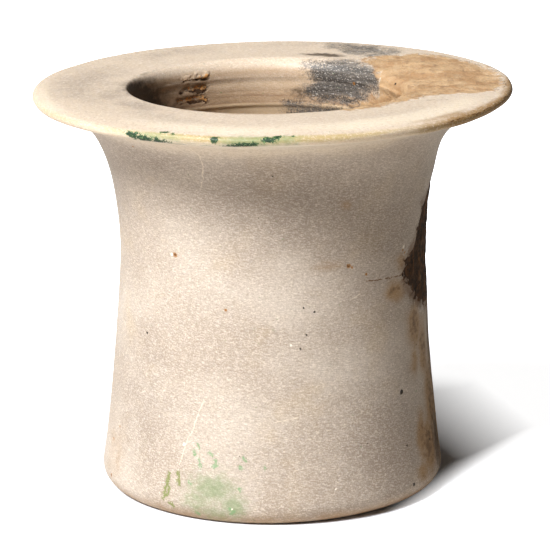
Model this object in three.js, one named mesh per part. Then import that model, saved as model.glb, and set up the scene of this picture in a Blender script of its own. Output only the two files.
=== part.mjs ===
// A carved calcite alabaster pot, one solid, in millimetres, +Z up, standing on the origin.
// A wide flat rim over a concave body that spreads to a rounded foot, with a drilled bore.
import * as THREE from "three";

// Driving dimensions
const height = 120;
const waistRadius = 45.6; // outside, at the narrowest place of the body
const waistHeight = 70.8;
const footFlare = 5.3; // how much wider than the waist the body is just above its rounded foot
const footFlarePower = 1.7; // how late the widening comes on the way down
const footRoundWidth = 4.5;
const footRoundHeight = 5.4;
const neckFlare = 8.2; // the gentle widening of the neck under the rim
const lipFlarePower = 9; // how suddenly the rim's underside turns out of the neck
const rimRadius = 70.5;
const rimEdgeThickness = 2.8;
const rimEdgeRound = 1.5; // how far the rounded edge reaches in from the rim's outer radius

const wallThickness = 6.6; // between the waist and the bore
const mouthShoulderWidth = 4.2; // the worn, rounded shoulder where the bore meets the rim's top
const mouthShoulderDepth = 4.4;
const drillStepDepth = 14.2; // below the rim's top: the ridge left between two runs of the drill
const drillStepHeight = 1.2; // from the ridge down to the wider run
const drillStepWidening = 0.6; // how much wider the lower run of the drill is
const floorThickness = 12;
const floorRound = 8;

// Hand work: the body was ground by eye, so it leaves the true circle a little
const neckLean = -0.7; // sideways, at the neck
const neckLeanDepth = 14; // its middle, below the rim's top
const neckLeanSpan = 8;
const bellyLean = 0.45; // sideways, at the waist
const bellyLeanSpan = 16;
const rimTilt = 1.1; // how much higher the rim lies at its right edge than in the middle
const rimTiltReach = 30; // how far below the rim's top the tilt has died away

// A flake is lost from the body's right side
const flakeDepth = 0.9;
const flakeTurn = THREE.MathUtils.degToRad(94); // from the front towards the right
const flakeHeight = 77;
const flakeHalfWidth = 18; // along the surface
const flakeHalfHeight = 17;

// The bore's edge is worn into a slope behind the right side
const wearDepth = 1.6;
const wearTurn = THREE.MathUtils.degToRad(112);
const wearHalfTurn = THREE.MathUtils.degToRad(26);
const wearHalfWidth = 9; // across the edge, along the radius

// Fineness of the facets
const turnSteps = 90;
const bodySteps = 9;
const neckSteps = 12;
const roundSteps = 5;
const boreSteps = 4;

const boreRadius = waistRadius - wallThickness;
const mouthRadius = boreRadius + mouthShoulderWidth;
const rimUndersideHeight = height - rimEdgeThickness;
const lowerBoreRadius = boreRadius + drillStepWidening;

function lerp(from, to, share) {
  return from + (to - from) * share;
}

// Points of a rounded corner from one angle to another, both in quarter turns
function roundCorner(centreRadius, centreHeight, width, depth, fromQuarter, toQuarter) {
  const corner = [];
  for (let step = 0; step <= roundSteps; step += 1) {
    const angle = lerp(fromQuarter, toQuarter, step / roundSteps) * Math.PI / 2;
    corner.push(new THREE.Vector2(
      centreRadius + width * Math.cos(angle),
      centreHeight + depth * Math.sin(angle),
    ));
  }
  return corner;
}

function footProfile() {
  const centre = waistRadius + footFlare - footRoundWidth;
  const corner = roundCorner(centre, footRoundHeight, footRoundWidth, footRoundHeight, -1, 0);
  return [new THREE.Vector2(0, 0), ...corner];
}

function bodyProfile() {
  const points = [];
  for (let step = 1; step <= bodySteps; step += 1) {
    const share = 1 - step / bodySteps;
    const radius = waistRadius + footFlare * share ** footFlarePower;
    points.push(new THREE.Vector2(radius, lerp(waistHeight, footRoundHeight, share)));
  }
  return points;
}

// The steps crowd together towards the lip, where the curve is tight
function neckProfile() {
  const lipFlare = rimRadius - rimEdgeRound - waistRadius - neckFlare;
  const points = [];
  for (let step = 1; step < neckSteps; step += 1) {
    const share = Math.sin(step / neckSteps * Math.PI / 2);
    const radius = waistRadius + neckFlare * share ** 2 + lipFlare * share ** lipFlarePower;
    points.push(new THREE.Vector2(radius, lerp(waistHeight, rimUndersideHeight, share)));
  }
  return points;
}

function rimProfile() {
  const edgeHeight = height - rimEdgeThickness / 2;
  return roundCorner(rimRadius - rimEdgeRound, edgeHeight, rimEdgeRound, rimEdgeThickness / 2, -1, 1);
}

// Rings on the flat top and round the bore's shoulder
function mouthProfile() {
  const topEdge = rimRadius - rimEdgeRound;
  const points = [];
  for (const share of [0.4, 0.75]) {
    points.push(new THREE.Vector2(lerp(topEdge, mouthRadius, share), height));
  }
  const shoulderHeight = height - mouthShoulderDepth;
  points.push(...roundCorner(mouthRadius, shoulderHeight, mouthShoulderWidth, mouthShoulderDepth, 1, 2));
  return points;
}

function boreProfile() {
  const ridgeHeight = height - drillStepDepth;
  const lowerBoreTop = ridgeHeight - drillStepHeight;
  const floorCorner = floorThickness + floorRound;
  const points = [new THREE.Vector2(boreRadius, ridgeHeight)];
  for (let step = 0; step < boreSteps; step += 1) {
    points.push(new THREE.Vector2(lowerBoreRadius, lerp(lowerBoreTop, floorCorner, step / boreSteps)));
  }
  points.push(...roundCorner(lowerBoreRadius - floorRound, floorCorner, floorRound, floorRound, 0, -1));
  points.push(new THREE.Vector2(0, floorThickness));
  return points;
}

// 1 in the middle of a dent and 0 outside it, with a smooth edge; x and y count in half widths
function dentShare(x, y) {
  const distance = Math.min(1, Math.hypot(x, y));
  return (1 - distance ** 2) ** 2;
}

function turnBetween(turn, otherTurn) {
  const difference = turn - otherTurn;
  return Math.atan2(Math.sin(difference), Math.cos(difference));
}

function bump(value, middle, span) {
  return Math.exp(-(((value - middle) / span) ** 2));
}

// Moves one point of the outside by what hand work and the lost flake did to it
function shapeOutside(point) {
  const radius = Math.hypot(point.x, point.y);
  const turn = Math.atan2(point.x, -point.y);
  const along = turnBetween(turn, flakeTurn) * waistRadius / flakeHalfWidth;
  const up = (point.z - flakeHeight) / flakeHalfHeight;
  const shrink = 1 - flakeDepth * dentShare(along, up) / radius;
  point.x = point.x * shrink
    + neckLean * bump(point.z, height - neckLeanDepth, neckLeanSpan)
    + bellyLean * bump(point.z, waistHeight, bellyLeanSpan);
  point.y *= shrink;
}

// Lowers the worn part of the rim's top and of the bore's shoulder
function wearMouth(point) {
  const radius = Math.hypot(point.x, point.y);
  const turn = Math.atan2(point.x, -point.y);
  const along = turnBetween(turn, wearTurn) / wearHalfTurn;
  const across = (radius - mouthRadius) / wearHalfWidth;
  point.z -= wearDepth * dentShare(along, across);
}

// Raises the right side of the rim and lowers the left one
function tiltRim(point) {
  const share = Math.max(0, 1 - (height - point.z) / rimTiltReach);
  point.z += rimTilt * share ** 2 * point.x / rimRadius;
}

function makePotGeometry() {
  const outside = [...footProfile(), ...bodyProfile(), ...neckProfile()];
  const rim = rimProfile();
  const mouth = mouthProfile();
  const profile = [...outside, ...rim, ...mouth, ...boreProfile()];
  const geometry = new THREE.LatheGeometry(profile, turnSteps);
  geometry.rotateX(Math.PI / 2);
  const position = geometry.attributes.position;
  const point = new THREE.Vector3();
  for (let index = 0; index < position.count; index += 1) {
    const ring = index % profile.length;
    point.fromBufferAttribute(position, index);
    if (ring > 0 && ring < outside.length) {
      shapeOutside(point);
    } else if (ring >= outside.length + rim.length && ring < outside.length + rim.length + mouth.length) {
      wearMouth(point);
    }
    tiltRim(point);
    position.setXYZ(index, point.x, point.y, point.z);
  }
  geometry.computeVertexNormals();
  return geometry;
}

function makePot() {
  const alabaster = new THREE.MeshStandardMaterial({ color: 0xcbb79b, roughness: 0.55, metalness: 0 });
  const pot = new THREE.Mesh(makePotGeometry(), alabaster);
  pot.name = "alabaster_pot";
  return pot;
}

const model = new THREE.Group();
model.add(makePot());

export default model;
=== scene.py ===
# An ancient alabaster pot: ground outside, drilled inside, stained by earth and copper.
import math

import bpy
import numpy as np
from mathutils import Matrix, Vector, noise


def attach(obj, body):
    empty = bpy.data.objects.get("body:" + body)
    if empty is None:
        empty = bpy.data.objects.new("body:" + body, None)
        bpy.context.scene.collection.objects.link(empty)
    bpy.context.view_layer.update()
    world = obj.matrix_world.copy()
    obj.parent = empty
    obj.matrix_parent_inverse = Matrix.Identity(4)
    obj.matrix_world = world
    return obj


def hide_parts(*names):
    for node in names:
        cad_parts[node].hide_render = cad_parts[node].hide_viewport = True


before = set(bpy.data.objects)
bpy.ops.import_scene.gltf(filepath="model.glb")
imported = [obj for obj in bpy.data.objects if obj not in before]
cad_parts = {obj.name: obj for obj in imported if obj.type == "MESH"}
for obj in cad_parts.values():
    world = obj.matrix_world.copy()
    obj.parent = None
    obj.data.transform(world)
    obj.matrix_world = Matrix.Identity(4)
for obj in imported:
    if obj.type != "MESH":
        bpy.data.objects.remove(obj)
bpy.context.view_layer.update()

MM = 0.001  # this file works in millimetres and hands Blender metres

# The pot's sizes, as its solid has them
HEIGHT = 120.0
WAIST_RADIUS, WAIST_HEIGHT = 45.6, 70.8
FOOT_FLARE, FOOT_FLARE_POWER = 5.3, 1.7
FOOT_ROUND_WIDTH, FOOT_ROUND_HEIGHT = 4.5, 5.4
NECK_FLARE, LIP_FLARE_POWER = 8.2, 9.0
RIM_RADIUS, RIM_EDGE_THICKNESS, RIM_EDGE_ROUND = 70.5, 2.8, 1.5
BORE_RADIUS = WAIST_RADIUS - 6.6
SHOULDER_WIDTH, SHOULDER_DEPTH = 4.2, 4.4
MOUTH_RADIUS = BORE_RADIUS + SHOULDER_WIDTH
RIDGE_DEPTH, RIDGE_DROP, LOWER_BORE_WIDENING = 14.2, 1.2, 0.4
FLOOR_THICKNESS, FLOOR_ROUND = 12.0, 8.0
UNDERSIDE_HEIGHT = HEIGHT - RIM_EDGE_THICKNESS

# Hand work that the solid has too: the neck and belly lean sideways, the rim stands higher on its
# right, and the mouth is worn down behind it
NECK_LEAN, NECK_LEAN_DEPTH, NECK_LEAN_SPAN = -0.7, 14.0, 8.0
BELLY_LEAN, BELLY_LEAN_SPAN = 0.45, 16.0
RIM_TILT, RIM_TILT_REACH = 1.1, 30.0
MOUTH_WEAR, MOUTH_WEAR_TURN, MOUTH_WEAR_HALF_WIDTH, MOUTH_WEAR_HALF_LENGTH = 1.5, 112, 18.0, 5.5

# How deep the finer relief of this mesh goes
SWELLS, RUBBED_FLATS, DRILL_RINGS = 0.16, 0.05, 0.2
FLAKE_DEPTH, RUBBLE, PIT_DEPTH, GOUGE_DEPTH = 0.45, 0.35, 0.45, 0.5
LOST_EDGE, FRONT_WEAR, LIP_FULLNESS, FOOT_WEAR = 0.35, 0.85, 0.9, 0.7
MOUTH_OPENING = 0.62  # the share of the shoulder's width that is missing on the left
CRUST_THICKNESS, CRUST_LUMPS = 0.4, 0.45
EDGE_RUBBED, EDGE_UNEVEN = 0.14, 0.12
# The dark lower side is painted shadow under each chipped row's lip
GOUGE_SHADE_DROP = 0.9  # how far below each chipped row its dark lower side lies
DENTED_PIT = 0.5  # pits with at least this half size are dents too
# The middles of these places, as turns in degrees from the front towards the right
LOST_EDGE_TURN, OPENED_TURN, FRONT_WEAR_TURN, FULL_LIP_TURN, FOOT_WEAR_TURN = -138, -90, -8, -10, 98
FRONT_WEAR_START = 59.0  # the radius on the rim's top where the front's wear begins

# The photograph's view, fitted to the pot's outline; its distances count in pot heights
CAMERA_SIDE, CAMERA_AWAY, CAMERA_UP = 0.0066, 8.0, 2.59
CAMERA_DOWN = 14.53  # degrees
LENS, FILM_WIDTH = 217.9, 36.0

TURN_STEPS = 450
TURN = 2 * math.pi
TINY = 1e-9


# The profile, from the middle of the underside out, up, over the rim and down the bore

def steps(count, start=0.0, end=1.0):
    return start + (end - start) * np.arange(1, count + 1) / count


def foot_part():
    flat = WAIST_RADIUS + FOOT_FLARE - FOOT_ROUND_WIDTH
    angle = -math.pi / 2 * (1 - steps(10))
    radius = np.concatenate([flat * steps(8), flat + FOOT_ROUND_WIDTH * np.cos(angle)])
    height = np.concatenate([np.zeros(8), FOOT_ROUND_HEIGHT * (1 + np.sin(angle))])
    return radius, height


def body_part():
    share = 1 - steps(58)
    height = WAIST_HEIGHT + (FOOT_ROUND_HEIGHT - WAIST_HEIGHT) * share
    return WAIST_RADIUS + FOOT_FLARE * share ** FOOT_FLARE_POWER, height


def neck_part():
    lip_flare = RIM_RADIUS - RIM_EDGE_ROUND - WAIST_RADIUS - NECK_FLARE
    share = np.sin(steps(48) * math.pi / 2)
    radius = WAIST_RADIUS + NECK_FLARE * share ** 2 + lip_flare * share ** LIP_FLARE_POWER
    return radius, WAIST_HEIGHT + (UNDERSIDE_HEIGHT - WAIST_HEIGHT) * share


def edge_part():
    angle = math.pi * (steps(12) - 0.5)
    radius = RIM_RADIUS - RIM_EDGE_ROUND * (1 - np.cos(angle))
    return radius, HEIGHT - RIM_EDGE_THICKNESS / 2 * (1 - np.sin(angle))


def top_part():
    radius = steps(22, RIM_RADIUS - RIM_EDGE_ROUND, MOUTH_RADIUS)
    return radius, np.full(22, HEIGHT)


def shoulder_part():
    angle = math.pi / 2 * (1 + steps(9))
    radius = MOUTH_RADIUS + SHOULDER_WIDTH * np.cos(angle)
    return radius, HEIGHT - SHOULDER_DEPTH * (1 - np.sin(angle))


def drilled_part():
    ridge = HEIGHT - RIDGE_DEPTH
    height = np.concatenate([
        steps(20, HEIGHT - SHOULDER_DEPTH, ridge),
        steps(3, ridge, ridge - RIDGE_DROP),
        steps(12, ridge - RIDGE_DROP, FLOOR_THICKNESS + FLOOR_ROUND),
    ])
    widening = np.clip((ridge - height) / RIDGE_DROP, 0, 1)
    return BORE_RADIUS + LOWER_BORE_WIDENING * widening, height


def floor_part():
    corner = BORE_RADIUS + LOWER_BORE_WIDENING - FLOOR_ROUND
    angle = -math.pi / 2 * steps(6)
    radius = np.concatenate([corner + FLOOR_ROUND * np.cos(angle), corner * (1 - steps(4))[:-1]])
    height = np.full(len(radius), FLOOR_THICKNESS)
    height[:6] += FLOOR_ROUND * (1 + np.sin(angle))
    return radius, height


PARTS = [
    foot_part(), body_part(), neck_part(), edge_part(),
    top_part(), shoulder_part(), drilled_part(), floor_part(),
]
FOOT, BODY, NECK, EDGE, TOP, SHOULDER, BORE, FLOOR = range(8)
ring_radius = np.concatenate([part[0] for part in PARTS])
ring_height = np.concatenate([part[1] for part in PARTS])
ring_part = np.concatenate([np.full(len(part[0]), index) for index, part in enumerate(PARTS)])
# How far each ring lies along the profile: the second coordinate of every stain and scar
ring_along = np.concatenate([[0], np.cumsum(np.hypot(np.diff(ring_radius), np.diff(ring_height)))])


# Places on the pot: a turn in degrees from the front towards the right, and a distance along the profile

def outside(turn, height):
    chosen = ring_part <= NECK
    chosen &= ring_height > 0.01
    return turn, float(np.interp(height, ring_height[chosen], ring_along[chosen]))


def under_lip(turn, radius):
    chosen = (ring_part == NECK) & (ring_height > WAIST_HEIGHT + 8)
    return turn, float(np.interp(radius, ring_radius[chosen], ring_along[chosen]))


def on_edge(turn, height):
    chosen = ring_part == EDGE
    return turn, float(np.interp(height, ring_height[chosen], ring_along[chosen]))


def on_top(turn, radius):
    chosen = (ring_part == TOP) | (ring_part == SHOULDER)
    return turn, float(np.interp(-radius, -ring_radius[chosen], ring_along[chosen]))


def in_bore(turn, height):
    chosen = (ring_part == SHOULDER) | (ring_part == BORE)
    return turn, float(np.interp(-height, -ring_height[chosen], ring_along[chosen]))


def bore_along(depth):
    """The distance along the profile, in the bore, of a depth below the rim's top."""
    return in_bore(0, HEIGHT - depth)[1]


def radius_at(along):
    return np.interp(along, ring_along, ring_radius)


# One entry for each vertex of the rings
turns = np.tile(np.arange(TURN_STEPS) * TURN / TURN_STEPS, len(ring_radius))
radii = np.repeat(ring_radius, TURN_STEPS)
heights = np.repeat(ring_height, TURN_STEPS)
alongs = np.repeat(ring_along, TURN_STEPS)
parts = np.repeat(ring_part, TURN_STEPS)


def turn_offsets(middle_turn):
    """The turn from a place given in degrees to each vertex, in radians."""
    return (turns - math.radians(middle_turn) + math.pi) % TURN - math.pi


def flat_offsets(middle_turn):
    """How far each vertex lies from a turn, along the surface in millimetres."""
    return turn_offsets(middle_turn) * radii


def inside_depth(corners):
    """How deep each vertex lies inside an outline of places, in millimetres; negative outside it."""
    middle = sum(turn for turn, _ in corners) / len(corners)
    across = flat_offsets(middle)
    points = [(math.radians(turn - middle) * float(radius_at(along)), along) for turn, along in corners]
    nearest = np.full(len(turns), 1e9)
    within = np.zeros(len(turns), bool)
    for (x0, y0), (x1, y1) in zip(points, points[1:] + points[:1]):
        run, rise = x1 - x0, y1 - y0
        length_squared = run * run + rise * rise + TINY
        share = np.clip(((across - x0) * run + (alongs - y0) * rise) / length_squared, 0, 1)
        nearest = np.minimum(nearest, np.hypot(across - x0 - share * run, alongs - y0 - share * rise))
        crosses = (y0 > alongs) != (y1 > alongs)
        safe_rise = rise if abs(rise) > TINY else TINY
        within ^= crosses & (across < x0 + (alongs - y0) * run / safe_rise)
    return np.where(within, nearest, -nearest)


def blob(place, half_width, half_length, lean=0.0):
    """1 in the middle of a soft oval patch, falling to 0; lean turns it, in degrees."""
    turn, along = place
    x, y = flat_offsets(turn), alongs - along
    cosine, sine = math.cos(math.radians(lean)), math.sin(math.radians(lean))
    across = (x * cosine + y * sine) / half_width
    lengthwise = (y * cosine - x * sine) / half_length
    return np.exp(-(across ** 2 + lengthwise ** 2))


def rough(scale, seed, flat=1.0, detail=3):
    """Smooth noise at each vertex; scale is its size in millimetres, and flat stretches it sideways."""
    x = radii * np.sin(turns) / (scale * flat)
    y = -radii * np.cos(turns) / (scale * flat)
    z = heights / scale + seed * 17.3
    return np.array([noise.fractal(point, 1.0, 2.0, detail) for point in zip(x, y, z)])


def smooth_step(value, low, high):
    share = np.clip((value - low) / (high - low), 0, 1)
    return share * share * (3 - 2 * share)


# Outlines of the large stains and scars, corner by corner

CRUST = [
    on_top(27, 45.4), on_top(40, 46.6), on_top(52, 47), on_top(60, 47.6), on_top(66, 49.5),
    on_top(70, 54), on_top(72, 60), on_top(76, 64.5), on_top(79, 67.2), on_top(86, 68.6),
    on_top(100, 68), on_top(111, 67.5), on_top(122, 66.5), on_top(129, 65), on_top(135, 63),
    on_top(139, 56), on_top(144, 51), on_top(143, 43.5), on_top(134, 42), in_bore(126, 117),
    in_bore(125, 112), in_bore(136, 109), in_bore(143, 107), in_bore(125, 105), in_bore(110, 99),
    in_bore(90, 97), in_bore(64, 103), in_bore(50, 113), in_bore(36, 117.5), in_bore(26, 118.6),
]
GREY_WALL = [
    in_bore(163, 119.5), on_top(150, 43.5), on_top(138, 45), in_bore(126, 119), in_bore(124, 114),
    in_bore(131, 110), in_bore(138, 107.3), in_bore(147, 105.4), in_bore(156, 106.6),
    in_bore(163, 108.0), in_bore(167, 111), in_bore(164, 114.5), in_bore(166, 117),
]
GREY_RIM = [
    on_top(166, 66), on_top(153, 67.5), on_top(146.5, 66), on_top(141, 62.5), on_top(139, 56),
    on_top(144, 51.5), on_top(149, 50), on_top(156, 53), on_top(161, 58),
]
GREY_LOW = [
    in_bore(173, 104.8), in_bore(156, 105.0), in_bore(142, 105.6), in_bore(142, 98),
    in_bore(173, 97),
]
FLAKE = [
    outside(79, 94), outside(73.5, 90), outside(69.5, 86.5), outside(67, 81.8), outside(65, 78),
    outside(62, 75), outside(57.5, 72.6), outside(55, 70.2), outside(55.5, 67.6),
    outside(59.5, 65.6), outside(62, 62.5), outside(66, 59.6), outside(72, 57.4), outside(80, 56),
    outside(88, 58.5), outside(95, 57), outside(101, 63), outside(99, 68), outside(108, 71),
    outside(115, 76), outside(109, 80), outside(105, 86), outside(96, 88), outside(92, 94),
    outside(85, 97),
]
GOUGE_ROWS = (  # first turn, last turn, top and bottom on the bore's wall
    (-150.5, -137.0, 116.9, 115.0),
    (-150.0, -135.5, 113.6, 111.2),
    (-149.5, -133.5, 110.4, 107.9),
)

# Each mark is a place and its half size in millimetres
BLACK_PITS = [
    (outside(0.9, 103.7), 0.28), (outside(10.8, 63.9), 0.32), (outside(14.7, 62.6), 0.36),
    (outside(12.0, 56.0), 0.26), (outside(9.8, 52.0), 0.32), (outside(-52.0, 52.1), 0.42),
    (outside(52.7, 34.2), 0.75), (outside(-4.9, 90.8), 0.2), (outside(53.1, 18.0), 0.4),
    (outside(34.4, 22.2), 0.28), (outside(55.0, 6.1), 0.5), (outside(-10.9, 20.6), 0.2),
    (outside(65, 46), 0.25), (outside(67, 43), 0.22), (outside(70.5, 16), 0.32),
    (outside(72, 11), 0.26), (outside(62, 21), 0.22), (outside(104, 33), 0.5),
    (outside(141, 61), 0.4), (outside(-112, 44), 0.45), (outside(171, 27), 0.5),
    (outside(-133, 17), 0.5), (on_top(107, 43), 0.7), (on_top(73, 42.5), 0.4),
    (in_bore(111.8, 116.7), 0.6),
]
BROWN_PITS = [
    (outside(-38.2, 77.2), 0.72), (outside(-17.2, 63.0), 0.4), (outside(28.1, 75.1), 0.65),
    (outside(29.3, 74.6), 0.35), (outside(35.5, 71.9), 0.4), (outside(-72.6, 15.5), 0.55),
    (outside(-66.8, 20.8), 0.35), (outside(-70.5, 4.9), 0.6), (outside(54.9, 76.3), 0.35),
    (outside(56.2, 75.4), 0.3), (outside(-149, 49), 0.6), (outside(152, 92), 0.5),
    (outside(-45.4, 109.8), 0.32), (on_edge(4.4, 119.6), 0.28), (on_edge(3.6, 118.6), 0.25),
    (in_bore(140.6, 113.8), 0.45),
]
PALE_CHIPS = [
    (outside(55.2, 77.2), 0.5), (outside(21.4, 10.4), 0.32), (outside(-31.5, 22.4), 0.5),
    (outside(-39.6, 77.2), 0.4), (outside(-13.2, 5.0), 0.28), (outside(6.5, 53.3), 0.4),
    (outside(-150, 70), 0.6), (outside(118, 48), 0.6),
]
# Each line is a path of places
PALE_VEINS = [
    [outside(-23.1, 112.7), outside(-21.3, 109.6), outside(-21.3, 105.8),
     outside(-22.7, 101.5), outside(-24.4, 98.3)],
    [outside(-24.4, 36.1), outside(-26.2, 32.7), outside(-27.9, 27.8),
     outside(-30.4, 23.4), outside(-33.3, 14.5)],
    [outside(28.6, 65.1), outside(32.8, 66.4)],
    [on_top(-91, 43.9), on_top(-90.6, 54), on_top(-90, 66)],
    [in_bore(124.8, 117.6), in_bore(124.7, 112.0)],
    [outside(-128, 88), outside(-136, 71), outside(-133, 60), outside(-141, 44)],
]
TOOL_LINES = [
    [outside(7.6, 16.6), outside(15.4, 17.6)], [outside(4.3, 25.7), outside(20.1, 27.7)],
    [outside(22, 12.2), outside(31, 13.6)], [outside(1, 30.8), outside(9, 32.0)],
    [outside(24, 31.5), outside(35, 33.6)], [outside(16, 21.4), outside(29, 23.4)],
    [outside(-41, 29.8), outside(-33, 30.2)],
]
BROWN_CRACKS = [
    [outside(35.6, 69.9), outside(40.0, 69.5), outside(48.2, 69.2), outside(54.8, 68.9)],
    [on_edge(44, 118.4), on_edge(58.1, 118.6), on_edge(75.1, 119.2)],
    [on_edge(-42.1, 117.5), on_edge(-37.0, 117.4)],
    [on_top(58.8, 51.4), on_top(62.2, 56.5)],
]
BLACK_CRACKS = [[outside(54.6, 68.6), outside(57.0, 70.6), outside(61.0, 71.2), outside(67.7, 73.2)]]
GREEN_MARKS = [
    [outside(-25.9, 22.8), outside(-25.5, 22.1)], [outside(-27.3, 20.6), outside(-26.9, 20.0)],
    [outside(-25.2, 18.4), outside(-24.8, 16.6)],
    [outside(-20.0, 16.9), outside(-19.2, 17.4), outside(-19.3, 18.9)],
    [outside(-11.0, 17.6), outside(-10.1, 17.2)], [outside(-9.8, 20.2), outside(-9.2, 19.5)],
    [outside(-28.4, 11.6), outside(-28.0, 11.1)], [outside(-25.6, 2.8), outside(-25.0, 2.4)],
    [outside(-13.9, 5.3), outside(-12.6, 4.6), outside(-13.3, 3.9)],
    [outside(-11.0, 11.2), outside(-10.6, 10.6)], [outside(-21.8, 21.0), outside(-20.8, 20.2)],
    [outside(-2.7, 17.7), outside(-2.4, 17.4)],
]
OLIVE_MARKS = [
    [outside(-36.7, 12.8), outside(-37.1, 11.2), outside(-37.0, 9.6),
     outside(-38.0, 8.0), outside(-38.3, 5.6)],
    [outside(-36.6, 9.2), outside(-36.4, 7.6), outside(-37.4, 6.4)],
    [outside(-33.0, 13.9), outside(-32.7, 12.6)], [outside(-32.6, 11.7), outside(-32.4, 10.6)],
    [outside(-35.4, 4.4), outside(-34.6, 3.4)],
]

# Each patch is a place, half width and half length in millimetres, a lean in degrees and a strength
COPPER = [
    (on_edge(-33.4, 118.8), 3.2, 1.2, -6, 1.5), (on_edge(-30.4, 118.0), 4.4, 1.2, -6, 1.4),
    (on_edge(-26.2, 117.6), 4.4, 1.2, 0, 1.3), (under_lip(-33.0, 68.2), 4.2, 1.8, -6, 1.2),
    (under_lip(-29.5, 67.0), 6.0, 2.4, 0, 1.4), (under_lip(-24.6, 66.4), 5.6, 2.2, 0, 1.4),
    (under_lip(-19.0, 66.6), 1.7, 0.9, 0, 1.0), (under_lip(-15.6, 66.8), 1.9, 1.2, 0, 1.1),
    (on_edge(-23.3, 119.9), 1.2, 0.8, 0, 1.2), (on_edge(-25.6, 120), 1.7, 0.9, 0, 1.2),
    (on_edge(-13.0, 119.4), 1.25, 1.5, 0, 1.5), (on_edge(-15.0, 119.3), 0.8, 0.9, 0, 1.0),
    (on_edge(-6.4, 117.8), 5.4, 1.0, 4, 1.2), (under_lip(-8.4, 67.6), 4.2, 1.8, 0, 1.1),
    (on_edge(-10.4, 117.4), 2.2, 0.9, 0, 1.1), (on_edge(-0.8, 119.2), 1.7, 1.2, 0, 1.4),
    (on_edge(1.3, 119.9), 1.6, 1.2, 0, 1.4), (on_edge(-2.6, 119.1), 0.8, 0.9, 0, 1.1),
    (on_edge(4.7, 119.9), 0.6, 0.6, 0, 1.0), (on_edge(5.1, 118.9), 0.5, 0.6, 0, 0.9),
]
FILM = [
    (on_edge(-28, 118.6), 12, 2.4, 0, 0.8), (on_edge(3, 119.2), 5.0, 2.0, 0, 0.9),
    (on_edge(-6, 118.8), 9, 2.4, 0, 1.15), (outside(-20, 10.5), 8.5, 5.0, 0, 1.0),
    (outside(-12.8, 6), 4.5, 4.5, 0, 1.0), (outside(-25, 6.5), 6.5, 5.0, 0, 0.75),
    (outside(-18, 3), 9.0, 3.5, 0, 0.7),
]
YELLOW = [
    (on_edge(-5, 119.3), 46, 1.35, 0, 1.2), (on_edge(-60, 119.1), 34, 1.4, 0, 0.5),
    (on_edge(60, 118.4), 36, 1.7, 0, 1.0),
]
# Pale patches: painted bounce light under the front of the lip, painted light on the front of the rim's
# top and under the bore's ridge, partly cleaner stone
CLEAN_AND_LIT = [
    (under_lip(-6, 68.2), 62, 3.4, 0, 1.9), (under_lip(-8, 62.0), 56, 9.0, 0, 1.3),
    (on_top(-12, 63.0), 34, 6.5, 0, 0.8), (on_top(34, 62.5), 44, 5.5, 0, 1.0),
    (on_top(-80, 68.0), 30, 2.5, 0, 0.8), (in_bore(180, 112.6), 36, 3.8, 0, 0.6),
]
# Darker tan along the rim's edge, most on its right and at the back, and along the mouth's front edge
DARK_EDGE = [
    (on_top(46, 67.6), 15, 2.2, 0, 0.8), (on_edge(58, 119.0), 27, 2.8, 0, 1.4),
    (on_edge(84, 119.0), 18, 3.0, 0, 1.4), (on_top(-5, 43.2), 36, 1.5, 0, 0.62),
    (on_edge(150, 118.8), 34, 1.6, 0, 0.7), (on_edge(-140, 118.9), 42, 1.5, 0, 0.75),
    (on_edge(-88, 118.5), 16, 1.4, 0, 0.5),
]
AMBER = [
    (outside(50, 65.0), 5.4, 4.0, 0, 1.0), (outside(26, 93.5), 2.6, 2.2, 0, 0.5),
    (outside(22, 75.6), 6.5, 1.8, 0, 0.55), (outside(54, 72.5), 3.6, 3.6, 0, 0.8),
    (outside(64, 52.0), 5.0, 8.5, 0, 1.2), (outside(63, 42.0), 3.5, 6.0, 0, 0.9),
    (outside(72, 44.0), 5.0, 10.0, 0, 1.2), (outside(76, 28.0), 6.0, 12.0, 0, 1.3),
    (outside(69, 15.0), 6.5, 9.0, 0, 1.3), (outside(62, 8.0), 5.0, 4.0, 10, 0.9),
    (outside(64, 18.0), 4.0, 9.0, 0, 1.1), (outside(86, 36.0), 8.0, 26.0, 0, 1.3),
    (outside(-68, 14.0), 13.0, 14.0, 0, 0.42), (outside(118, 40.0), 13.0, 20.0, 0, 0.7),
    (outside(160, 18.0), 17.0, 12.0, 0, 0.6), (outside(-140, 30.0), 14.0, 18.0, 0, 0.5),
]
# Soil stains; the dark strips along the right-hand outline, at turns 80 to 104, are painted shade where
# the side turns away from the lamp
SOIL_AND_EDGE_SHADE = [
    (outside(66, 61.0), 7.0, 5.0, 0, 0.9), (outside(60, 74), 3.0, 3.5, 40, 0.7),
    (outside(82, 46.0), 3.5, 15.0, 0, 1.0), (outside(93, 44.0), 2.8, 17.0, 4, 0.9),
    (outside(104, 54.0), 3.2, 12.0, -4, 0.8), (outside(80, 88), 4.0, 16.0, 0, 0.8),
    (outside(80, 14.0), 8.0, 14.0, 0, 1.0), (outside(72, 60.0), 8.0, 5.0, 0, 1.0),
    (outside(120, 66.0), 22.0, 28.0, 0, 0.6), (outside(-160, 80.0), 12.0, 22.0, 0, 0.35),
]
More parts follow.
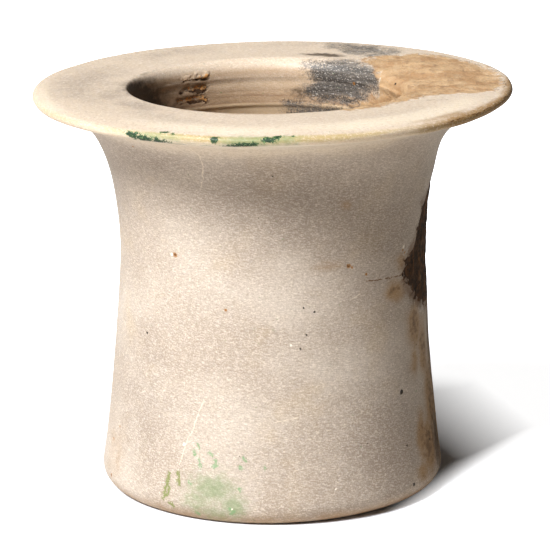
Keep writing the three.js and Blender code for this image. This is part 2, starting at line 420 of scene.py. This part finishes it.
# Grey-brown patina on the rim's top; the patches on the body under the rim and on its lower right are
# painted shade
PATINA_AND_SHADE = [
    (on_top(-75, 49), 10, 6, 0, 1.0), (on_top(-54, 48), 12, 5, 0, 1.0),
    (on_top(-40, 54), 12, 6, 0, 0.6), (outside(-52, 30), 17, 28, 0, 0.9),
    (under_lip(66, 58), 24, 9, 0, 0.5), (outside(52.5, 22), 5, 14, 0, 1.4),
    (outside(-10, 5), 70, 9, 0, 0.75), (on_top(-98, 57), 30, 12, 0, 0.9),
    (on_top(-74, 55), 13, 7, 0, 0.7), (on_top(-148, 61), 20, 8, 0, 0.7),
    (on_top(177, 62), 14, 7, 0, 0.5), (on_top(40, 57), 16, 6, 0, 0.5),
    (on_top(-30, 58), 16, 7, 0, 0.5), (outside(-40, 107), 24, 8, 0, 0.8),
    (outside(8, 97), 36, 15, 0, 1.0), (outside(52, 88), 22, 22, 0, 0.9),
    (outside(25, 60), 22, 18, 0, 0.4), (outside(46, 20), 20, 26, 0, 1.1),
    (outside(-3, 12), 14, 14, 0, 0.4), (outside(170, 100), 60, 16, 0, 0.8),
    (outside(-110, 106), 30, 9, 0, 0.7), (outside(-170, 30), 40, 20, 0, 0.5),
]
# Painted shade: the bore's left wall faces away from the lamp, and these dark patches darken it and the
# mouth's left edge above it
BORE_LEFT_SHADE = [
    (in_bore(-88, 107), 22, 12, 0, 3.0), (in_bore(-118, 106), 20, 8, 0, 0.75),
    (in_bore(-93, 117.6), 21, 3.0, 0, 1.2), (on_top(-117, 42.6), 9, 1.6, 0, 0.6),
]
SMUDGE = [
    (on_top(157.0, 47.2), 4.5, 3.0, 0, 1.0), (on_top(161, 47.6), 9.0, 3.6, 0, 0.9),
    (in_bore(167, 109.6), 8.0, 3.2, 0, 0.6),
]


def patches(marks):
    """The strength of soft patches at each vertex."""
    spots = [strength * blob(place, wide, long, lean) for place, wide, long, lean, strength in marks]
    return np.max(spots, axis=0)


def scar_relief(flake):
    """What is broken off the outside, as a change of radius."""
    fading = smooth_step(heights, 56, 68)
    depth = FLAKE_DEPTH * smooth_step(flake, -0.3, 1.4)
    rubble = RUBBLE * rough(3.2, 5, detail=4) * smooth_step(flake, 0.0, 2.5)
    return (rubble - depth) * fading


def ground_relief():
    """The outside was ground by eye: slow swells and the faint flats of the rubbing stone."""
    swells = SWELLS * rough(28.0, 1, flat=1.4, detail=2)
    return swells + RUBBED_FLATS * rough(7.0, 2, flat=2.0, detail=2)


def drill_relief():
    """The drill left shallow rings all round the bore, about 1.6 mm apart, each a little uneven."""
    ring = np.array([noise.fractal((0.0, 3.0, height / 1.6), 1.0, 2.0, 3) for height in ring_height])
    return DRILL_RINGS * np.repeat(ring, TURN_STEPS) * (1 + 0.5 * rough(20.0, 3))


def gouge_rows(drop=0.0):
    """Three ragged level rows of chipped hollows on the bore's left wall, ending on one upright line."""
    hollow = np.zeros(len(turns))
    ragged = 0.9 * rough(1.3, 7, flat=1.6, detail=3)
    for first, last, top, bottom in GOUGE_ROWS:
        top, bottom = top - drop, bottom - drop
        middle = (top + bottom) / 2
        corners = [
            in_bore(first, top), in_bore(last, middle + 0.4),
            in_bore(last, middle - 0.4), in_bore(first, bottom),
        ]
        hollow = np.maximum(hollow, smooth_step(inside_depth(corners) + ragged, -0.5, 0.7))
    return hollow


def pit_relief():
    """The larger pits, as dents."""
    dent = np.zeros(len(turns))
    for place, size in BLACK_PITS + BROWN_PITS:
        if size >= DENTED_PIT:
            dent = np.maximum(dent, PIT_DEPTH * blob(place, size * 1.2, size * 1.2))
    return dent


def lost_edge():
    """The rim's edge is a little worn away at the back left, and ends in a small step."""
    offset = turn_offsets(LOST_EDGE_TURN)
    share = smooth_step(offset, 0.0, 0.02) * smooth_step(-offset, -0.75, -0.2)
    return LOST_EDGE * share * (radii / RIM_RADIUS) ** 8 * np.isin(parts, (EDGE, TOP))


def worn_front():
    """The rim's upper edge is worn round along the front: how far it sinks."""
    front = smooth_step(np.cos(turn_offsets(FRONT_WEAR_TURN)), -0.1, 0.7)
    uneven = 1 + 0.25 * rough(14.0, 12, detail=2)
    reach = RIM_RADIUS - 1.0 - FRONT_WEAR_START
    outwards = np.clip((radii - FRONT_WEAR_START) / reach, 0, 1) ** 1.7
    upwards = np.where(parts == TOP, 1, smooth_step(heights, UNDERSIDE_HEIGHT, HEIGHT))
    return FRONT_WEAR * front * uneven * outwards * upwards * np.isin(parts, (EDGE, TOP))


def full_lip():
    """The lip was left thicker along the front: how far its lower side hangs down."""
    front = smooth_step(np.cos(turn_offsets(FULL_LIP_TURN)), 0.1, 0.75)
    outwards = smooth_step(radii, 58.5, 67.5)
    downwards = 1 - smooth_step(heights, UNDERSIDE_HEIGHT, HEIGHT - 0.6)
    below = np.where(parts == NECK, outwards, downwards)
    return LIP_FULLNESS * front * below * np.isin(parts, (NECK, EDGE))


def opened_left():
    """The bore's mouth is sharper and a little wider on its left: how far the wall lies further out."""
    share = np.exp(-((turn_offsets(OPENED_TURN) / 0.75) ** 2))
    share = share * smooth_step(heights, HEIGHT - 21, HEIGHT - 6)
    narrowed = np.clip(MOUTH_RADIUS - radii, 0, None) * np.isin(parts, (SHOULDER, BORE))
    return MOUTH_OPENING * share * narrowed


def lifted_foot():
    """The foot's edge is worn more on the right, so that it turns up a little higher there."""
    side = smooth_step(np.cos(turn_offsets(FOOT_WEAR_TURN)), -0.45, 0.8)
    low = smooth_step(radii, 40, 48) * smooth_step(-heights, -12, -2)
    return FOOT_WEAR * side * low * (parts <= BODY)


def worn_mouth():
    """The mouth's edge is worn into a slope behind its right side: how far it sinks."""
    across = flat_offsets(MOUTH_WEAR_TURN) / MOUTH_WEAR_HALF_WIDTH
    along = (alongs - on_top(0, MOUTH_RADIUS)[1]) / MOUTH_WEAR_HALF_LENGTH
    return MOUTH_WEAR * np.exp(-(across ** 2) - along ** 2)


def edge_wear():
    """The rim's edge is rubbed back all round, unevenly."""
    slow = EDGE_UNEVEN * rough(18.0, 6, detail=2)
    return EDGE_RUBBED + slow + EDGE_UNEVEN / 2 * rough(4.0, 10, detail=3)


def lip_dips(crust):
    """How far the rim's top lies below a true plane: uneven stone, with lumps of earth on it."""
    dip = EDGE_RUBBED + EDGE_UNEVEN * rough(16.0, 4, detail=2)
    lumps = CRUST_LUMPS * rough(4.0, 9, detail=4) - 0.12
    return np.clip(dip - crust * lumps, 0.01, 1)


def lean_and_tilt(x, z, outer):
    """Moves the neck and belly sideways and raises the right side of the rim."""
    neck = NECK_LEAN * np.exp(-((z - (HEIGHT - NECK_LEAN_DEPTH)) / NECK_LEAN_SPAN) ** 2)
    belly = BELLY_LEAN * np.exp(-((z - WAIST_HEIGHT) / BELLY_LEAN_SPAN) ** 2)
    x = x + np.where(outer, neck + belly, 0)
    share = np.clip(1 - (HEIGHT - z) / RIM_TILT_REACH, 0, None)
    return x, z + RIM_TILT * share ** 2 * x / RIM_RADIUS


def surface_point(place):
    """A place as a point in space, in millimetres."""
    turn, along = math.radians(place[0]), place[1]
    radius = float(radius_at(along))
    height = float(np.interp(along, ring_along, ring_height))
    outer = along < on_edge(0, UNDERSIDE_HEIGHT)[1]
    x, z = lean_and_tilt(radius * math.sin(turn), height, outer)
    return float(x), -radius * math.cos(turn), float(z)


def pot_vertices(fields):
    """Every vertex of the rings, in metres: the true profile with hand work, wear and crust on it."""
    outer = (parts <= NECK) & (heights > 0.01)
    crust = smooth_step(fields["crust"], -0.5, 2.0)
    crusted = CRUST_THICKNESS * crust * (0.5 + rough(5.0, 8, detail=4))
    out = np.where(outer, ground_relief() + scar_relief(fields["flake"]) - pit_relief(), 0)
    out = out + np.where(parts == BORE, GOUGE_DEPTH * fields["gouges"] - drill_relief() - crusted, 0)
    out = out - np.where(parts == EDGE, edge_wear(), 0)
    radius = radii + out + opened_left() - lost_edge()
    z = heights - worn_mouth() - worn_front() - full_lip() + lifted_foot()
    z = z - np.where(np.isin(parts, (EDGE, TOP, SHOULDER)), lip_dips(crust), 0)
    x, y = radius * np.sin(turns), -radius * np.cos(turns)
    x, z = lean_and_tilt(x, z, outer)
    return np.stack([x, y, z], axis=1) * MM


def stain_fields():
    """How deep in an outline, or how strong in a patch, each vertex lies."""
    outer = parts <= NECK
    foot = 0.6 * np.exp(-((heights - 1.0) / 3.0) ** 2)
    top = np.where(outer, smooth_step(radii, 62, 68), smooth_step(heights, 112, 118))
    faint_rim = np.minimum(inside_depth(GREY_RIM), 1.3)
    below_mouth = smooth_step(alongs, bore_along(1.2), bore_along(3.8))
    deeper = smooth_step(alongs, bore_along(6), bore_along(13))
    # The drill's ridge gets a painted highlight, and the shaded wall just under it painted light
    above_ridge = heights - (HEIGHT - RIDGE_DEPTH)
    at_ridge = smooth_step(above_ridge, 0.9, 0.2) * smooth_step(above_ridge, -4.3, -1.3)
    return {
        "crust": inside_depth(CRUST),
        "grey": np.max([inside_depth(GREY_WALL), faint_rim, inside_depth(GREY_LOW) + 1.5], axis=0),
        "flake": inside_depth(FLAKE),
        "gouges": gouge_rows(),
        "shade": gouge_rows(GOUGE_SHADE_DROP),
        "copper": patches(COPPER),
        "film": patches(FILM),
        "yellow": patches(YELLOW),
        "clean_and_lit": patches(CLEAN_AND_LIT),
        "dark_edge": patches(DARK_EDGE),
        "amber": np.where(outer, np.maximum(patches(AMBER), foot), 0),
        "soil": np.where(outer, patches(SOIL_AND_EDGE_SHADE), 0),
        "patina_and_shade": patches(PATINA_AND_SHADE),
        "bore_left_shade": patches(BORE_LEFT_SHADE),
        "smudge": patches(SMUDGE),
        "rim": top * (parts != BORE) * (parts != FLOOR),
        "inside": 0.65 * below_mouth + 0.35 * deeper,
        "ridge_light": at_ridge * (parts == BORE),
    }


def pot_faces():
    """Quads between the rings, and a fan to one middle vertex below and one on the bore's floor."""
    rings = len(ring_radius)
    below, inside = rings * TURN_STEPS, rings * TURN_STEPS + 1
    column = np.arange(TURN_STEPS)
    following = (column + 1) % TURN_STEPS
    faces = []
    for ring in range(rings - 1):
        low, high = ring * TURN_STEPS, (ring + 1) * TURN_STEPS
        quads = [low + column, low + following, high + following, high + column]
        faces += np.stack(quads, axis=1).tolist()
    faces += [[below, int(b), int(a)] for a, b in zip(column, following)]
    last = (rings - 1) * TURN_STEPS
    faces += [[inside, last + int(a), last + int(b)] for a, b in zip(column, following)]
    return faces


def make_pot():
    """The pot as one mesh, with its stains stored on the vertices."""
    fields = stain_fields()
    middles = [[0, 0, 0], [0, 0, FLOOR_THICKNESS * MM]]
    vertices = np.concatenate([pot_vertices(fields), middles])
    mesh = bpy.data.meshes.new("alabaster_pot_carved")
    mesh.from_pydata(vertices.tolist(), [], pot_faces())
    mesh.polygons.foreach_set("use_smooth", [True] * len(mesh.polygons))
    for name, values in fields.items():
        store = mesh.attributes.new(name, "FLOAT", "POINT")
        store.data.foreach_set("value", np.append(np.clip(values, -20, 20), [0, 0]))
    mesh.update()
    piece = bpy.data.objects.new("alabaster_pot_carved", mesh)
    bpy.context.scene.collection.objects.link(piece)
    return piece


# Materials

MATH, VECTOR, MIX = "ShaderNodeMath", "ShaderNodeVectorMath", "ShaderNodeMix"
RANGE, NOISE, STORED = "ShaderNodeMapRange", "ShaderNodeTexNoise", "ShaderNodeAttribute"


def colour(code):
    """An sRGB hex code as a linear colour."""
    values = [int(code[i:i + 2], 16) / 255 for i in (1, 3, 5)]
    return tuple(v / 12.92 if v <= 0.04045 else ((v + 0.055) / 1.055) ** 2.4 for v in values) + (1.0,)


def add(tree, kind, *inputs, out=0, named=None, **settings):
    """Adds a node with its settings, fills its inputs in order, or by name, and returns one output."""
    node = tree.nodes.new(kind)
    for setting, value in settings.items():
        setattr(node, setting, value)
    pairs = list(enumerate(inputs)) + list((named or {}).items())
    for key, value in pairs:
        if isinstance(value, bpy.types.NodeSocket):
            tree.links.new(value, node.inputs[key])
        elif value is not None:
            node.inputs[key].default_value = value
    return node.outputs[out]


def grain(tree, place, size, sideways=1.0, detail=2.0):
    """A pattern of spots about size millimetres high and sideways times as wide."""
    stretch = (1 / (size * sideways), 1 / (size * sideways), 1 / size)
    stretched = add(tree, VECTOR, place, stretch, operation="MULTIPLY")
    return add(tree, NOISE, named={"Vector": stretched, "Scale": 1.0, "Detail": detail})


def shaken(tree, place, size, reach):
    """Coordinates pushed about by up to reach millimetres, so that marks lose their even outline."""
    wobble = add(tree, NOISE, named={"Vector": place, "Scale": 1 / size, "Detail": 2.0}, out=1)
    pushed = add(tree, VECTOR, wobble, (2 * reach,) * 3, place, operation="MULTIPLY_ADD")
    return add(tree, VECTOR, pushed, (reach,) * 3, operation="SUBTRACT")


def broken(tree, name, pattern, reach):
    """A stored stain with its strength or its edge pushed about by a pattern."""
    pushed = add(tree, MATH, pattern, 2 * reach, -reach, operation="MULTIPLY_ADD")
    return add(tree, MATH, add(tree, STORED, attribute_name=name, out=2), pushed, operation="ADD")


def lay(tree, base, over, field, low, high, strength=1.0):
    """Lays a colour over the base where a field passes from low to high, up to a strength."""
    share = add(tree, RANGE, field, low, high, 0.0, strength, interpolation_type="SMOOTHSTEP")
    paint = colour(over) if isinstance(over, str) else over
    return add(tree, MIX, named={0: share, 6: base, 7: paint}, out=2, data_type="RGBA")


def to_spots(tree, place, marks):
    """How far outside the nearest of some small marks each point lies."""
    nearest = 9.0
    for spot, size in marks:
        gap = add(tree, VECTOR, place, surface_point(spot), out=1, operation="DISTANCE")
        gap = add(tree, MATH, gap, size, operation="SUBTRACT")
        nearest = add(tree, MATH, gap, nearest, operation="MINIMUM")
    return nearest


def to_lines(tree, place, paths):
    """How far from the nearest of some paths each point lies."""
    nearest = 9.0
    for path in paths:
        points = [Vector(surface_point(spot)) for spot in path]
        for start, end in zip(points, points[1:]):
            run = end - start
            from_start = add(tree, VECTOR, place, tuple(start), operation="SUBTRACT")
            measure = tuple(run / run.length_squared)
            share = add(tree, VECTOR, from_start, measure, out=1, operation="DOT_PRODUCT")
            held = add(tree, MATH, share, 0.0, operation="ADD", use_clamp=True)
            foot = add(tree, VECTOR, named={0: tuple(run), 3: held}, operation="SCALE")
            gap = add(tree, VECTOR, from_start, foot, out=1, operation="DISTANCE")
            nearest = add(tree, MATH, gap, nearest, operation="MINIMUM")
    return nearest


def stone_colour(tree, grains):
    """Cream calcite: slow pinkish clouds, lighter and yellower on the rim and under its lip, fine
    crystals lying level.
    """
    base = lay(tree, colour("#C0B4A7"), "#AFA193", grains["clouds"], 0.36, 0.64)
    base = lay(tree, base, "#BDA785", grains["honey"], 0.52, 0.8, 0.35)
    base = lay(tree, base, "#D2C0AB", add(tree, STORED, attribute_name="rim", out=2), 0.0, 1.0, 0.95)
    # grey-brown patina, and painted shade on the body under the rim and on its lower right
    base = lay(tree, base, "#94867A", broken(tree, "patina_and_shade", grains["patchy"], 0.6), 0.1, 1.2, 0.6)
    # painted light and cleaner stone: pale under the lip, on the rim's front and under the bore's ridge
    base = lay(tree, base, "#EADBC4", broken(tree, "clean_and_lit", grains["patchy"], 0.3), 0.1, 0.9, 0.7)
    base = lay(tree, base, "#F8F0DF", add(tree, STORED, attribute_name="clean_and_lit", out=2), 1.0, 1.5, 0.8)
    base = lay(tree, base, "#AF9963", broken(tree, "yellow", grains["patchy"], 0.3), 0.1, 0.9, 0.8)
    base = lay(tree, base, "#95703E", broken(tree, "dark_edge", grains["patchy"], 0.4), 0.2, 1.0, 0.8)
    worked = add(tree, MATH, add(tree, STORED, attribute_name="rim", out=2), -0.02, operation="MULTIPLY")
    pale = add(tree, MATH, grains["crystals"], worked, operation="ADD")
    base = lay(tree, base, "#F4EADD", pale, 0.46, 0.68, 0.5)
    dark = add(tree, MATH, grains["crystals"], worked, operation="SUBTRACT")
    return lay(tree, base, "#6F5D4B", dark, 0.5, 0.3, 0.34)


def side_colour(tree, base, grains):
    """Iron and soil stains on the outside, run down in drips, with painted shade along the right-hand
    outline.
    """
    base = lay(tree, base, "#A27A42", broken(tree, "amber", grains["patchy"], 0.45), 0.15, 1.0, 0.72)
    base = lay(tree, base, "#5A3D1C", broken(tree, "amber", grains["ragged"], 1.1), 0.8, 1.5, 0.7)
    # soil, and painted shade along the right-hand outline
    base = lay(tree, base, "#5E4526", broken(tree, "soil", grains["ragged"], 0.6), 0.3, 1.1, 0.7)
    return lay(tree, base, "#453019", broken(tree, "soil", grains["drips"], 0.8), 0.5, 1.2, 0.7)


def inside_colour(tree, base, grains):
    """The bore: browner, in level rings; painted shade on its left wall; a painted highlight along the
    drill's ridge; the chipped rows orange-brown with painted light on their lips and painted shadow under
    them.
    """
    inside = add(tree, STORED, attribute_name="inside", out=2)
    base = lay(tree, base, "#B08A5E", inside, 0.0, 1.0, 0.6)
    ringed = add(tree, MATH, grains["rings"], inside, operation="MULTIPLY")
    base = lay(tree, base, "#80614A", ringed, 0.44, 0.64, 0.36)
    # painted shade on the bore's left wall and the mouth's edge above it
    base = lay(tree, base, "#1E0C04", broken(tree, "bore_left_shade", grains["ragged"], 0.35), 0.2, 1.1, 0.95)
    base = lay(tree, base, "#3F3227", broken(tree, "smudge", grains["ragged"], 0.5), 0.3, 0.9, 0.85)
    # painted highlight on the drill's ridge and painted light just under it
    ridge_light = add(tree, STORED, attribute_name="ridge_light", out=2)
    ridge_light = add(tree, MATH, ridge_light, grains["patchy"], operation="MULTIPLY")
    base = lay(tree, base, "#E2CCA8", ridge_light, 0.1, 0.5, 0.4)
    # painted shadow under each chipped row
    shade = add(tree, STORED, attribute_name="shade", out=2)
    shade = add(tree, MATH, shade, grains["chips"], operation="MULTIPLY")
    base = lay(tree, base, "#3A2210", shade, 0.3, 0.44, 0.9)
    # the rows' upper lips in orange: partly the stone's colour, partly painted light
    gouges = add(tree, STORED, attribute_name="gouges", out=2)
    gouges = add(tree, MATH, gouges, grains["chips"], operation="MULTIPLY")
    return lay(tree, base, "#DDA468", gouges, 0.4, 0.5, 0.95)


def crust_colour(tree, base, grains, crust):
    """Hardened earth: tan, with paler scuffs and darker hollows."""
    earth = lay(tree, colour("#B4936D"), "#A17C55", grains["patchy"], 0.4, 0.62)
    earth = lay(tree, earth, "#CDB493", grains["wiped"], 0.52, 0.68, 0.25)
    earth = lay(tree, earth, "#6E4F31", grains["wiped"], 0.44, 0.3, 0.5)
    earth = lay(tree, earth, "#7E6040", grains["fine"], 0.44, 0.3, 0.45)
    return lay(tree, base, earth, crust, -0.8, 1.8, 0.93)


def grey_colour(tree, base, grains):
    """A burnt or organic stain: ash grey to black, in level streaks, with white crystal specks."""
    ash = lay(tree, colour("#363637"), "#6E6A66", grains["rings"], 0.44, 0.66, 0.7)
    ash = lay(tree, ash, "#CFC6BA", grains["hairs"], 0.58, 0.74, 0.3)
    ash = lay(tree, ash, "#D8D0C6", grains["crystals"], 0.54, 0.66, 0.6)
    smeared = broken(tree, "grey", grains["smeared"], 5.0)
    speckled = add(tree, MATH, grains["fine"], 9.0, smeared, operation="MULTIPLY_ADD")
    return lay(tree, base, ash, speckled, 2.4, 8.0, 0.92)


def flake_colour(tree, base, grains, flake):
    """Dark soil caught in the broken face, in upright strands."""
    soil = lay(tree, colour("#3A240F"), "#6A4726", grains["drips"], 0.44, 0.66)
    soil = lay(tree, soil, "#120A04", grains["ragged"], 0.54, 0.4, 0.8)
    soil = lay(tree, soil, "#927C60", grains["patchy"], 0.58, 0.72, 0.5)
    base = lay(tree, base, "#6B4A28", broken(tree, "flake", grains["patchy"], 5.0), -3.2, -0.4, 0.7)
    return lay(tree, base, soil, flake, -0.4, 0.6, 0.97)


def copper_colour(tree, base, grains, place):
    """Copper corrosion: dark green where thick, a pale green film round it, small dabs at the foot."""
    base = lay(tree, base, "#7A8F64", broken(tree, "film", grains["ragged"], 0.5), 0.1, 1.1, 0.68)
    thick = lay(tree, colour("#143A26"), "#7B9A66", grains["fine"], 0.5, 0.74)
    copper = broken(tree, "copper", grains["ragged"], 0.95)
    copper = add(tree, MATH, grains["fine"], 1.8, copper, operation="MULTIPLY_ADD")
    base = lay(tree, base, thick, copper, 1.5, 1.66, 0.97)
    loose = shaken(tree, place, 1.1, 0.9)
    speckled = add(tree, MATH, grains["fine"], 1.6, -0.8, operation="MULTIPLY_ADD")
    green = add(tree, MATH, to_lines(tree, loose, GREEN_MARKS), speckled, operation="ADD")
    base = lay(tree, base, "#739C6D", green, 0.8, 0.1, 0.75)
    olive = add(tree, MATH, to_lines(tree, loose, OLIVE_MARKS), speckled, operation="ADD")
    return lay(tree, base, "#75803F", olive, 0.85, 0.2, 0.85)


def marks_colour(tree, base, place):
    """Veins, cracks, chips and pits."""
    near = shaken(tree, place, 1.6, 0.5)
    base = lay(tree, base, "#F4E8D4", to_lines(tree, near, PALE_VEINS), 0.28, 0.05, 0.56)
    base = lay(tree, base, "#F4E8D4", to_lines(tree, place, TOOL_LINES), 0.2, 0.05, 0.4)
    base = lay(tree, base, "#6A4A2A", to_lines(tree, near, BROWN_CRACKS), 0.32, 0.1, 0.88)
    base = lay(tree, base, "#150D07", to_lines(tree, near, BLACK_CRACKS), 0.36, 0.18)
    base = lay(tree, base, "#F6EEE1", to_spots(tree, near, PALE_CHIPS), 0.12, -0.12, 0.85)
    brown = to_spots(tree, near, BROWN_PITS)
    base = lay(tree, base, "#A87438", brown, 0.2, -0.1, 0.85)
    base = lay(tree, base, "#5C3A1E", brown, -0.12, -0.3, 0.8)
    return lay(tree, base, "#1C130C", to_spots(tree, near, BLACK_PITS), 0.1, -0.1, 0.95)


def stone_grains(tree, place):
    """The patterns of the stone and its stains, by real size in millimetres, width and raggedness."""
    # The stone's crystals are only 0.1 mm long: they are drawn three times as coarse so that they show,
    # round ones mixed with level ones, which lie 9 degrees off the level as the stone's beds do
    round_ones = add(tree, MATH, grain(tree, place, 0.36, 1.2, 2.0), 0.5, operation="MULTIPLY")
    tilted = add(tree, "ShaderNodeVectorRotate", place, None, (0, 1, 0), math.radians(-9))
    level_ones = grain(tree, tilted, 0.3, 4.0, 3.0)
    # The earth on the rim was wiped from front to back: its patterns are three times as long that way
    drawn_out = add(tree, VECTOR, place, (1.0, 0.34, 1.0), operation="MULTIPLY")
    return {
        "crystals": add(tree, MATH, level_ones, 0.5, round_ones, operation="MULTIPLY_ADD"),
        "clouds": grain(tree, place, 26.0, 1.6, 3.0),  # the stone's own beds
        "honey": grain(tree, place, 12.0, 1.2, 2.0),
        "patchy": grain(tree, place, 6.0, 1.3, 5.0),  # uneven handling and soil
        "fine": grain(tree, place, 0.5, 1.0, 3.0),
        "hairs": grain(tree, place, 0.35, 7.0, 2.0),  # level scratches in the burnt stain
        "chips": grain(tree, place, 0.9, 1.3, 3.0),  # grains broken out of the chipped rows
        "ragged": grain(tree, place, 1.5, 1.3, 4.0),
        "scuffs": grain(tree, place, 1.6, 1.4, 5.0),
        "smeared": grain(tree, place, 2.2, 2.6, 4.0),
        "wiped": grain(tree, drawn_out, 2.4, 1.0, 5.0),
        "drips": grain(tree, place, 12.0, 0.1, 4.0),  # 12 mm tall and a tenth as wide
        "rings": grain(tree, place, 1.1, 24.0, 4.0),  # the drill's grit cut one every millimetre or so
    }


def pot_colour(tree, grains, place, crust, flake):
    base = stone_colour(tree, grains)
    base = side_colour(tree, base, grains)
    base = inside_colour(tree, base, grains)
    base = grey_colour(tree, base, grains)
    base = crust_colour(tree, base, grains, crust)
    base = copper_colour(tree, base, grains, place)
    base = flake_colour(tree, base, grains, flake)
    return marks_colour(tree, base, place)


def pot_roughness(tree, grains, earthy):
    """The worn polish is half dull, the crystals in it a little less, and earth nearly matt."""
    dull = add(tree, MATH, earthy, 0.38, 0.52, operation="MULTIPLY_ADD")
    return add(tree, MATH, grains["crystals"], -0.12, dull, operation="MULTIPLY_ADD")


def pot_bumps(tree, grains, earthy):
    """Crystals that the polish left standing, and lumps where there is earth or a chipped hollow."""
    gouges = add(tree, STORED, attribute_name="gouges", out=2)
    lumps = add(tree, MATH, gouges, 9.0, 0.4, operation="MULTIPLY_ADD")
    lumps = add(tree, MATH, earthy, 4.5, lumps, operation="MULTIPLY_ADD")
    lumps = add(tree, MATH, lumps, grains["ragged"], operation="MULTIPLY")
    relief = add(tree, MATH, grains["crystals"], 1.0, lumps, operation="MULTIPLY_ADD")
    return add(tree, "ShaderNodeBump", named={"Height": relief, "Distance": 0.16 * MM, "Strength": 0.7})


def alabaster():
    """Calcite alabaster, ground with sand and worn to a dull polish: cloudy cream stone that lets light
    in a little, with fine pale crystals, under the earth and stains of its burial."""
    material = bpy.data.materials.new("ground_calcite_alabaster")
    material.use_nodes = True
    tree = material.node_tree
    shader = tree.nodes["Principled BSDF"]
    where = add(tree, "ShaderNodeTexCoord", out=3)
    place = add(tree, VECTOR, named={0: where, 3: 1 / MM}, operation="SCALE")
    grains = stone_grains(tree, place)
    crust = broken(tree, "crust", grains["scuffs"], 4.0)
    flake = broken(tree, "flake", grains["ragged"], 4.5)
    earthy = add(tree, MATH, crust, flake, operation="MAXIMUM")
    earthy = add(tree, RANGE, earthy, -0.3, 0.5, 0.0, 1.0, interpolation_type="SMOOTHSTEP")
    tree.links.new(pot_colour(tree, grains, place, crust, flake), shader.inputs["Base Color"])
    tree.links.new(pot_roughness(tree, grains, earthy), shader.inputs["Roughness"])
    tree.links.new(pot_bumps(tree, grains, earthy), shader.inputs["Normal"])
    shader.inputs["Subsurface Weight"].default_value = 0.25
    shader.inputs["Subsurface Radius"].default_value = (1.0, 0.8, 0.5)
    shader.inputs["Subsurface Scale"].default_value = 1.8 * MM
    shader.inputs["IOR"].default_value = 1.49
    shader.inputs["Specular IOR Level"].default_value = 0.35
    return material


def white_paper():
    """Matt white sweep paper. To the camera it glows white as painted light, except in a pool of real
    shadow close to the foot; the light it bounces is darker to the right.
    """
    material = bpy.data.materials.new("matt_white_paper")
    material.use_nodes = True
    tree = material.node_tree
    shader = tree.nodes["Principled BSDF"]
    seen = add(tree, "ShaderNodeLightPath", out="Is Camera Ray")
    where = add(tree, "ShaderNodeTexCoord", out=3)
    side = add(tree, "ShaderNodeSeparateXYZ", where)
    paper = lay(tree, colour("#D6D0CA"), "#B6B0A8", side, 0.03, 0.12)
    base = add(tree, MIX, named={0: seen, 6: paper, 7: colour("#F1F5FD")}, out=2, data_type="RGBA")
    tree.links.new(base, shader.inputs["Base Color"])
    to_right = add(tree, VECTOR, where, (1.0, 0.3, 0.0), out=1, operation="DOT_PRODUCT")
    to_front_right = add(tree, VECTOR, where, (0.906, -0.423, 0.0), out=1, operation="DOT_PRODUCT")
    away = add(tree, VECTOR, where, out=1, operation="LENGTH")
    right = add(tree, RANGE, to_right, 0.0593, 0.0985, 0.0, 0.96)
    front = add(tree, RANGE, to_front_right, 0.044, 0.0555, 0.0, 0.96, interpolation_type="SMOOTHSTEP")
    far = add(tree, RANGE, away, 0.078, 0.125, 0.0, 0.95, interpolation_type="SMOOTHSTEP")
    # painted light: a glow seen only by the camera, which whitens the floor's shadow away from the foot
    glow = add(tree, MATH, right, front, operation="MAXIMUM")
    glow = add(tree, MATH, glow, far, operation="MAXIMUM")
    glow = add(tree, MATH, glow, seen, operation="MULTIPLY")
    tree.links.new(glow, shader.inputs["Emission Strength"])
    shader.inputs["Emission Color"].default_value = (1, 1, 1, 1)
    shader.inputs["Roughness"].default_value = 1.0
    shader.inputs["Specular IOR Level"].default_value = 0.0
    return material


# Stage, light and camera

def make_floor():
    half = 3.0  # metres
    corners = [(-half, -half, 0), (half, -half, 0), (half, half, 0), (-half, half, 0)]
    mesh = bpy.data.meshes.new("floor")
    mesh.from_pydata(corners, [], [(0, 1, 2, 3)])
    mesh.materials.append(white_paper())
    floor = bpy.data.objects.new("floor", mesh)
    bpy.context.scene.collection.objects.link(floor)


def aim(thing, target):
    thing.rotation_euler = (Vector(target) - thing.location).to_track_quat("-Z", "Y").to_euler()


def make_light(name, turn, lift, distance, size, power):
    """A square soft box: turn from the front to the right and lift above the floor, in degrees."""
    lamp = bpy.data.lights.new(name, "AREA")
    lamp.size = size
    lamp.energy = power
    light = bpy.data.objects.new(name, lamp)
    turn, lift = math.radians(turn), math.radians(lift)
    along_floor = distance * math.cos(lift)
    light.location = (
        along_floor * math.sin(turn), -along_floor * math.cos(turn), distance * math.sin(lift),
    )
    aim(light, (0, 0, HEIGHT / 2 * MM))
    bpy.context.scene.collection.objects.link(light)


def make_world():
    """A dim warm room that the camera sees as white."""
    world = bpy.data.worlds.new("studio")
    world.use_nodes = True
    tree = world.node_tree
    seen = add(tree, "ShaderNodeLightPath", out="Is Camera Ray")
    glow = add(tree, MIX, named={0: seen, 6: colour("#2E2A26"), 7: (1, 1, 1, 1)}, out=2, data_type="RGBA")
    tree.links.new(glow, tree.nodes["Background"].inputs["Color"])
    bpy.context.scene.world = world


def make_camera():
    """The photograph's view, from far away and a little above."""
    lens = bpy.data.cameras.new("camera")
    lens.sensor_width = FILM_WIDTH
    lens.lens = LENS
    lens.clip_end = 20
    camera = bpy.data.objects.new("camera", lens)
    camera.location = Vector((CAMERA_SIDE, -CAMERA_AWAY, CAMERA_UP)) * HEIGHT * MM
    camera.rotation_euler = (math.radians(90 - CAMERA_DOWN), 0, 0)
    bpy.context.scene.collection.objects.link(camera)
    bpy.context.scene.camera = camera


make_camera()
make_world()
make_light("key", turn=-43, lift=47, distance=3.9, size=1.26, power=300)
make_floor()
bpy.context.scene.view_settings.view_transform = "Standard"

pot = make_pot()
pot.data.materials.append(alabaster())
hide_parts("alabaster_pot")
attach(pot, "root")
